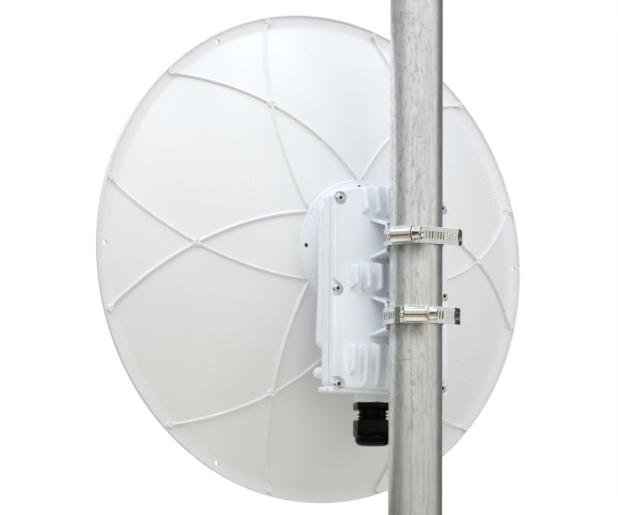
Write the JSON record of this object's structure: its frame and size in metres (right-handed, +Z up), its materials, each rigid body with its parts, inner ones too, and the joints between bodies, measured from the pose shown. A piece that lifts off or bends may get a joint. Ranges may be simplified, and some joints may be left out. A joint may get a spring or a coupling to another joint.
{
  "type": "microwave dish antenna",
  "caption": "Small parabolic microwave link antenna with a ribbed reflector, front feed and finned radio housing, held on a round steel pole by two worm-drive hose clamps",
  "frame": {"origin": "centre of the pole's foot face, where the pole stands on what carries it", "axes": "+Z up along the pole; the dish looks along -Y; +X is to the dish's left hand as seen from in front of it"},
  "size_m": [0.4, 0.257, 0.6033],
  "materials": {
    "dish_plastic": "moulded off-white plastic, slightly glossy",
    "housing_paint": "bluish white powder coat on die-cast aluminium",
    "galvanised_steel": "galvanised, streaked and scratched",
    "stainless_steel": "bright stainless steel",
    "black_plastic": "black polyamide",
    "rubber": "matt black rubber"
  },
  "bodies": {
    "root": {"pole_tube": "galvanised_steel", "pole_foot": "galvanised_steel", "pole_cap": "black_plastic", "reflector": "dish_plastic", "feed_tube": "dish_plastic", "feed_collar": "dish_plastic", "feed_cone": "dish_plastic", "feed_cap": "stainless_steel", "feed_screw_1": "stainless_steel", "feed_screw_2": "stainless_steel", "feed_screw_3": "stainless_steel", "feed_screw_4": "stainless_steel", "mounting_adaptor": "housing_paint", "radio_base": "housing_paint", "cover_gasket": "rubber", "radio_cover": "housing_paint", "cover_screw_top_left": "stainless_steel", "cover_screw_top_right": "stainless_steel", "cover_screw_middle_left": "stainless_steel", "cover_screw_middle_right": "stainless_steel", "cover_screw_bottom_left": "stainless_steel", "cover_screw_bottom_right": "stainless_steel", "vent_plug": "housing_paint", "gland_body": "black_plastic", "gland_nut": "black_plastic", "gland_seal": "rubber", "upper_band": "stainless_steel", "upper_screw_housing": "stainless_steel", "upper_worm_screw": "stainless_steel", "lower_band": "stainless_steel", "lower_screw_housing": "stainless_steel", "lower_worm_screw": "stainless_steel"}
  },
  "joints": []
}
